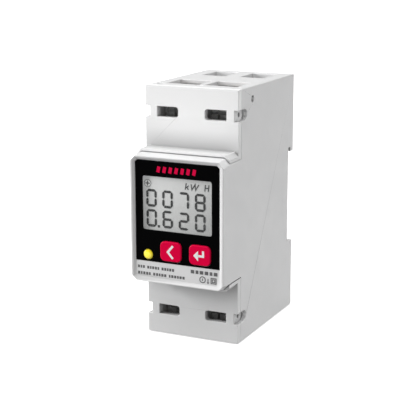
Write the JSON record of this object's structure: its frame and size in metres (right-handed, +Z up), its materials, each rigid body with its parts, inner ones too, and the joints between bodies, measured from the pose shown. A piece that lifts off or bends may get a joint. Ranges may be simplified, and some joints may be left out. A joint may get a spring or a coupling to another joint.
{
  "type": "DIN rail electric meter",
  "caption": "Rail-mounted electric meter: stepped case with a display, keys and a pulse light on its nose, and covered screw terminals above and below.",
  "frame": {"origin": "middle of the face that rests on the 35 mm rail, on the rail's centre line", "axes": "+X to the right seen from the front, +Y from the front face back towards the rail, +Z up"},
  "size_m": [0.036, 0.0642, 0.091],
  "materials": {
    "case_grey": "moulded, fine matt grain",
    "panel_black": "printed black, satin gloss",
    "clear_window": "clear polycarbonate, polished",
    "lcd_grey": "grey display glass",
    "light_guide": "milky acrylic",
    "holder_white": "white moulding",
    "rubber_grey": "layered contact rubber",
    "key_red": "red moulding with a white symbol",
    "lamp_yellow": "yellow light pipe, polished",
    "block_grey": "heat-proof moulding",
    "zinc_plate": "bright zinc plate",
    "copper": "bare copper",
    "coil_blue": "blue coating",
    "board_green": "green solder mask",
    "chip_black": "black moulding",
    "capacitor_yellow": "yellow box",
    "lead_red": "insulated wire",
    "clip_black": "black moulding"
  },
  "bodies": {
    "meter": {"front_case": "case_grey", "rear_base": "case_grey", "front_overlay": "panel_black", "window_lens": "clear_window", "lcd_panel": "lcd_grey", "lcd_backlight": "light_guide", "lcd_holder": "holder_white", "contact_strip": "rubber_grey", "left_key_switch": "chip_black", "enter_key_switch": "chip_black", "pulse_light": "lamp_yellow", "pulse_led": "holder_white", "upper_terminal_block": "block_grey", "lower_terminal_block": "block_grey", "phase_busbar": "copper", "neutral_busbar": "copper", "current_transformer": "coil_blue", "display_board": "board_green", "controller_chip": "chip_black", "main_board": "board_green", "metering_chip": "chip_black", "memory_chip": "chip_black", "timing_crystal": "zinc_plate", "supply_capacitor": "capacitor_yellow", "smoothing_capacitor": "chip_black", "surge_varistor": "coil_blue", "fuse_resistor": "block_grey", "link_header": "chip_black", "phase_lead": "lead_red", "neutral_lead": "lead_red", "transformer_lead": "lead_red", "clip_spring": "zinc_plate", "board_screw_left": "zinc_plate", "board_screw_right": "zinc_plate", "base_screw_upper_left": "zinc_plate", "base_screw_upper_right": "zinc_plate", "base_screw_lower_left": "zinc_plate", "base_screw_lower_right": "zinc_plate"},
    "left_key": {"left_key": "key_red"},
    "enter_key": {"enter_key": "key_red"},
    "upper_cover": {"upper_terminal_cover": "case_grey"},
    "lower_cover": {"lower_terminal_cover": "case_grey"},
    "rail_clip": {"din_clip": "clip_black"},
    "upper_phase_screw": {"upper_phase_screw": "zinc_plate"},
    "upper_neutral_screw": {"upper_neutral_screw": "zinc_plate"},
    "lower_phase_screw": {"lower_phase_screw": "zinc_plate"},
    "lower_neutral_screw": {"lower_neutral_screw": "zinc_plate"},
    "upper_phase_cage": {"upper_phase_cage": "zinc_plate"},
    "upper_neutral_cage": {"upper_neutral_cage": "zinc_plate"},
    "lower_phase_cage": {"lower_phase_cage": "zinc_plate"},
    "lower_neutral_cage": {"lower_neutral_cage": "zinc_plate"}
  },
  "joints": [
    {"name": "left_key_press", "type": "slide", "parent": "meter", "child": "left_key", "axis": [0, 1, 0], "range_m": [0, 0.0005], "stiffness_N_per_m": 1600, "springref_m": -0.0005},
    {"name": "enter_key_press", "type": "slide", "parent": "meter", "child": "enter_key", "axis": [0, 1, 0], "range_m": [0, 0.0005], "stiffness_N_per_m": 1600, "springref_m": -0.0005},
    {"name": "upper_cover_pull", "type": "slide", "parent": "meter", "child": "upper_cover", "axis": [0, -1, 0], "range_m": [0, 0.02]},
    {"name": "lower_cover_pull", "type": "slide", "parent": "meter", "child": "lower_cover", "axis": [0, -1, 0], "range_m": [0, 0.02]},
    {"name": "rail_clip_slide", "type": "slide", "parent": "meter", "child": "rail_clip", "axis": [0, 0, -1], "range_m": [0, 0.005], "stiffness_N_per_m": 1500, "springref_m": -0.002, "deforming": ["clip_spring"]},
    {"name": "upper_phase_screw_turn", "type": "hinge", "parent": "meter", "child": "upper_phase_screw", "pos_m": [-0.00845, -0.0425, 0.0364], "axis": [0, 1, 0], "range_deg": [0, 900]},
    {"name": "upper_neutral_screw_turn", "type": "hinge", "parent": "meter", "child": "upper_neutral_screw", "pos_m": [0.00845, -0.0425, 0.0364], "axis": [0, 1, 0], "range_deg": [0, 900]},
    {"name": "lower_phase_screw_turn", "type": "hinge", "parent": "meter", "child": "lower_phase_screw", "pos_m": [-0.00845, -0.0425, -0.0364], "axis": [0, 1, 0], "range_deg": [0, 900]},
    {"name": "lower_neutral_screw_turn", "type": "hinge", "parent": "meter", "child": "lower_neutral_screw", "pos_m": [0.00845, -0.0425, -0.0364], "axis": [0, 1, 0], "range_deg": [0, 900]},
    {"name": "upper_phase_cage_draw", "type": "slide", "parent": "meter", "child": "upper_phase_cage", "axis": [0, -1, 0], "range_m": [0, 0.002]},
    {"name": "upper_neutral_cage_draw", "type": "slide", "parent": "meter", "child": "upper_neutral_cage", "axis": [0, -1, 0], "range_m": [0, 0.002]},
    {"name": "lower_phase_cage_draw", "type": "slide", "parent": "meter", "child": "lower_phase_cage", "axis": [0, -1, 0], "range_m": [0, 0.002]},
    {"name": "lower_neutral_cage_draw", "type": "slide", "parent": "meter", "child": "lower_neutral_cage", "axis": [0, -1, 0], "range_m": [0, 0.002]}
  ],
  "couplings": [
    {"joint": "upper_phase_screw_turn", "follows": "upper_phase_cage_draw", "rad_per_m": 7850},
    {"joint": "upper_neutral_screw_turn", "follows": "upper_neutral_cage_draw", "rad_per_m": 7850},
    {"joint": "lower_phase_screw_turn", "follows": "lower_phase_cage_draw", "rad_per_m": 7850},
    {"joint": "lower_neutral_screw_turn", "follows": "lower_neutral_cage_draw", "rad_per_m": 7850}
  ]
}
